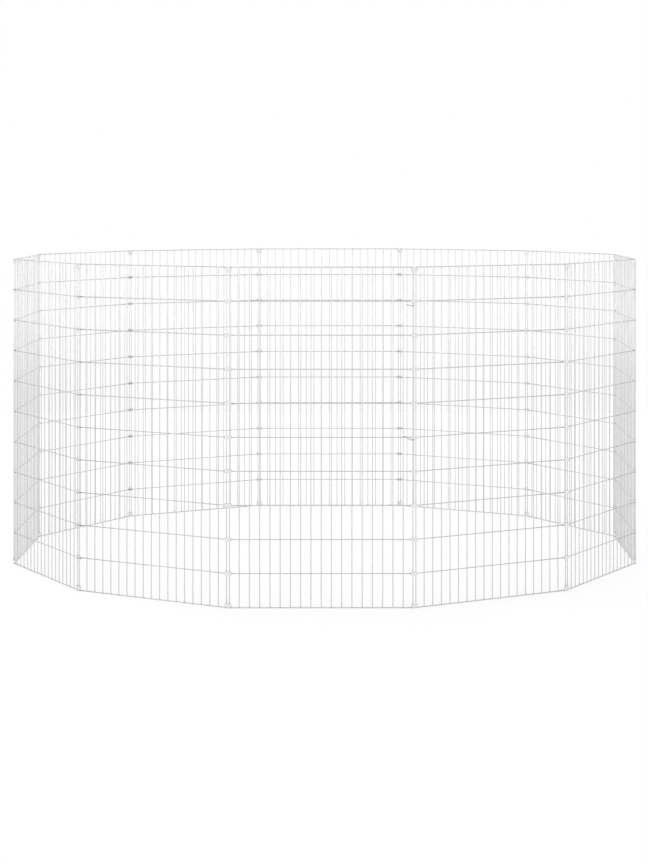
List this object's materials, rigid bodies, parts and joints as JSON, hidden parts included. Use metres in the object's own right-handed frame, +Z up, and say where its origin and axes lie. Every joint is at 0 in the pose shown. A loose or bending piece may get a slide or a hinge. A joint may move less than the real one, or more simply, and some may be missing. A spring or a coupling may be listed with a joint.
{
  "type": "animal pen",
  "caption": "Free-standing round pen of hinged welded-wire panels, joined by crimped strip clips, with a gate panel held by keepers and two wire latch hooks.",
  "frame": {"origin": "centre of the ring, on the ground", "axes": "+Z up; -Y towards the front panel, which is the root; +X to the right seen from the front, where the gate's free edge and the latch hooks are"},
  "size_m": [2.047, 2.0551, 1],
  "materials": {
    "galvanised_wire": "satin",
    "clip_strip": "satin",
    "hook_wire": "satin"
  },
  "bodies": {
    "panel_01": {"panel_01": "galvanised_wire", "keeper_top": "clip_strip", "keeper_bottom": "clip_strip"},
    "corner_01_clips": {"corner_01_clip_1": "clip_strip", "corner_01_clip_2": "clip_strip", "corner_01_clip_3": "clip_strip", "corner_01_clip_4": "clip_strip"},
    "panel_02": {"panel_02": "galvanised_wire"},
    "corner_02_clips": {"corner_02_clip_1": "clip_strip", "corner_02_clip_2": "clip_strip", "corner_02_clip_3": "clip_strip", "corner_02_clip_4": "clip_strip"},
    "panel_03": {"panel_03": "galvanised_wire"},
    "corner_03_clips": {"corner_03_clip_1": "clip_strip", "corner_03_clip_2": "clip_strip", "corner_03_clip_3": "clip_strip", "corner_03_clip_4": "clip_strip"},
    "panel_04": {"panel_04": "galvanised_wire"},
    "corner_04_clips": {"corner_04_clip_1": "clip_strip", "corner_04_clip_2": "clip_strip", "corner_04_clip_3": "clip_strip", "corner_04_clip_4": "clip_strip"},
    "panel_05": {"panel_05": "galvanised_wire"},
    "corner_05_clips": {"corner_05_clip_1": "clip_strip", "corner_05_clip_2": "clip_strip", "corner_05_clip_3": "clip_strip", "corner_05_clip_4": "clip_strip"},
    "panel_06": {"panel_06": "galvanised_wire"},
    "corner_06_clips": {"corner_06_clip_1": "clip_strip", "corner_06_clip_2": "clip_strip", "corner_06_clip_3": "clip_strip", "corner_06_clip_4": "clip_strip"},
    "panel_07": {"panel_07": "galvanised_wire"},
    "corner_07_clips": {"corner_07_clip_1": "clip_strip", "corner_07_clip_2": "clip_strip", "corner_07_clip_3": "clip_strip", "corner_07_clip_4": "clip_strip"},
    "panel_08": {"panel_08": "galvanised_wire"},
    "corner_08_clips": {"corner_08_clip_1": "clip_strip", "corner_08_clip_2": "clip_strip", "corner_08_clip_3": "clip_strip", "corner_08_clip_4": "clip_strip"},
    "panel_09": {"panel_09": "galvanised_wire"},
    "corner_09_clips": {"corner_09_clip_1": "clip_strip", "corner_09_clip_2": "clip_strip", "corner_09_clip_3": "clip_strip", "corner_09_clip_4": "clip_strip"},
    "panel_10": {"panel_10": "galvanised_wire"},
    "corner_10_clips": {"corner_10_clip_1": "clip_strip", "corner_10_clip_2": "clip_strip", "corner_10_clip_3": "clip_strip", "corner_10_clip_4": "clip_strip"},
    "panel_11": {"panel_11": "galvanised_wire"},
    "corner_11_clips": {"corner_11_clip_1": "clip_strip", "corner_11_clip_2": "clip_strip", "corner_11_clip_3": "clip_strip", "corner_11_clip_4": "clip_strip"},
    "gate_panel": {"gate_panel": "galvanised_wire"},
    "latch_hook_upper": {"latch_hook_upper": "hook_wire"},
    "latch_hook_lower": {"latch_hook_lower": "hook_wire"}
  },
  "joints": [
    {"name": "pen_fold", "type": "hinge", "parent": "panel_01", "child": "panel_02", "pos_m": [-0.27207, -1.01536, 0.5], "axis": [0, 0, -1], "range_deg": [0, 145.5]},
    {"name": "corner_01_clips_turn", "type": "hinge", "parent": "panel_01", "child": "corner_01_clips", "pos_m": [-0.2685, -1.01983, 0.5], "axis": [0, 0, -1], "range_deg": [0, 72.8]},
    {"name": "corner_02_turn", "type": "hinge", "parent": "panel_02", "child": "panel_03", "pos_m": [-0.74862, -0.74862, 0.5], "axis": [0, 0, 1], "range_deg": [0, 203.75]},
    {"name": "corner_02_clips_turn", "type": "hinge", "parent": "panel_02", "child": "corner_02_clips", "pos_m": [-0.74244, -0.74895, 0.5], "axis": [0, 0, 1], "range_deg": [0, 101.9]},
    {"name": "corner_03_turn", "type": "hinge", "parent": "panel_03", "child": "panel_04", "pos_m": [-1.01536, -0.27207, 0.5], "axis": [0, 0, -1], "range_deg": [0, 145.55]},
    {"name": "corner_03_clips_turn", "type": "hinge", "parent": "panel_03", "child": "corner_03_clips", "pos_m": [-1.01745, -0.27739, 0.5], "axis": [0, 0, -1], "range_deg": [0, 72.8]},
    {"name": "corner_04_turn", "type": "hinge", "parent": "panel_04", "child": "panel_05", "pos_m": [-1.02264, 0.27402, 0.5], "axis": [0, 0, 1], "range_deg": [0, 203.75]},
    {"name": "corner_04_clips_turn", "type": "hinge", "parent": "panel_04", "child": "corner_04_clips", "pos_m": [-1.01983, 0.2685, 0.5], "axis": [0, 0, 1], "range_deg": [0, 101.9]},
    {"name": "corner_05_turn", "type": "hinge", "parent": "panel_05", "child": "panel_06", "pos_m": [-0.7433, 0.7433, 0.5], "axis": [0, 0, -1], "range_deg": [0, 145.55]},
    {"name": "corner_05_clips_turn", "type": "hinge", "parent": "panel_05", "child": "corner_05_clips", "pos_m": [-0.74895, 0.74244, 0.5], "axis": [0, 0, -1], "range_deg": [0, 72.8]},
    {"name": "corner_06_turn", "type": "hinge", "parent": "panel_06", "child": "panel_07", "pos_m": [-0.27402, 1.02264, 0.5], "axis": [0, 0, 1], "range_deg": [0, 203.75]},
    {"name": "corner_06_clips_turn", "type": "hinge", "parent": "panel_06", "child": "corner_06_clips", "pos_m": [-0.27739, 1.01745, 0.5], "axis": [0, 0, 1], "range_deg": [0, 101.9]},
    {"name": "corner_07_turn", "type": "hinge", "parent": "panel_07", "child": "panel_08", "pos_m": [0.27207, 1.01536, 0.5], "axis": [0, 0, -1], "range_deg": [0, 145.55]},
    {"name": "corner_07_clips_turn", "type": "hinge", "parent": "panel_07", "child": "corner_07_clips", "pos_m": [0.2685, 1.01983, 0.5], "axis": [0, 0, -1], "range_deg": [0, 72.8]},
    {"name": "corner_08_turn", "type": "hinge", "parent": "panel_08", "child": "panel_09", "pos_m": [0.74862, 0.74862, 0.5], "axis": [0, 0, 1], "range_deg": [0, 203.75]},
    {"name": "corner_08_clips_turn", "type": "hinge", "parent": "panel_08", "child": "corner_08_clips", "pos_m": [0.74244, 0.74895, 0.5], "axis": [0, 0, 1], "range_deg": [0, 101.9]},
    {"name": "corner_09_turn", "type": "hinge", "parent": "panel_09", "child": "panel_10", "pos_m": [1.01536, 0.27207, 0.5], "axis": [0, 0, -1], "range_deg": [0, 145.55]},
    {"name": "corner_09_clips_turn", "type": "hinge", "parent": "panel_09", "child": "corner_09_clips", "pos_m": [1.01745, 0.27739, 0.5], "axis": [0, 0, -1], "range_deg": [0, 72.8]},
    {"name": "corner_10_turn", "type": "hinge", "parent": "panel_10", "child": "panel_11", "pos_m": [1.02264, -0.27402, 0.5], "axis": [0, 0, 1], "range_deg": [0, 203.75]},
    {"name": "corner_10_clips_turn", "type": "hinge", "parent": "panel_10", "child": "corner_10_clips", "pos_m": [1.01983, -0.2685, 0.5], "axis": [0, 0, 1], "range_deg": [0, 101.9]},
    {"name": "gate_swing", "type": "hinge", "parent": "panel_11", "child": "gate_panel", "pos_m": [0.7433, -0.7433, 0.5], "axis": [0, 0, -1], "range_deg": [0, 145.5]},
    {"name": "corner_11_clips_turn", "type": "hinge", "parent": "panel_11", "child": "corner_11_clips", "pos_m": [0.74895, -0.74244, 0.5], "axis": [0, 0, -1], "range_deg": [0, 72.8]},
    {"name": "upper_hook_turn", "type": "hinge", "parent": "panel_01", "child": "latch_hook_upper", "pos_m": [0.2685, -1.01983, 0.5], "axis": [0, 0, 1], "range_deg": [0, 149]},
    {"name": "lower_hook_turn", "type": "hinge", "parent": "panel_01", "child": "latch_hook_lower", "pos_m": [0.2685, -1.01983, 0.5], "axis": [0, 0, 1], "range_deg": [0, 149]}
  ],
  "couplings": [
    {"joint": "corner_01_clips_turn", "follows": "pen_fold", "ratio": 0.5},
    {"joint": "corner_02_turn", "follows": "pen_fold", "ratio": 1.4},
    {"joint": "corner_02_clips_turn", "follows": "pen_fold", "ratio": 0.7},
    {"joint": "corner_03_turn", "follows": "pen_fold", "ratio": 1},
    {"joint": "corner_03_clips_turn", "follows": "pen_fold", "ratio": 0.5},
    {"joint": "corner_04_turn", "follows": "pen_fold", "ratio": 1.4},
    {"joint": "corner_04_clips_turn", "follows": "pen_fold", "ratio": 0.7},
    {"joint": "corner_05_turn", "follows": "pen_fold", "ratio": 1},
    {"joint": "corner_05_clips_turn", "follows": "pen_fold", "ratio": 0.5},
    {"joint": "corner_06_turn", "follows": "pen_fold", "ratio": 1.4},
    {"joint": "corner_06_clips_turn", "follows": "pen_fold", "ratio": 0.7},
    {"joint": "corner_07_turn", "follows": "pen_fold", "ratio": 1},
    {"joint": "corner_07_clips_turn", "follows": "pen_fold", "ratio": 0.5},
    {"joint": "corner_08_turn", "follows": "pen_fold", "ratio": 1.4},
    {"joint": "corner_08_clips_turn", "follows": "pen_fold", "ratio": 0.7},
    {"joint": "corner_09_turn", "follows": "pen_fold", "ratio": 1},
    {"joint": "corner_09_clips_turn", "follows": "pen_fold", "ratio": 0.5},
    {"joint": "corner_10_turn", "follows": "pen_fold", "ratio": 1.4},
    {"joint": "corner_10_clips_turn", "follows": "pen_fold", "ratio": 0.7},
    {"joint": "corner_11_clips_turn", "follows": "gate_swing", "ratio": 0.5}
  ]
}
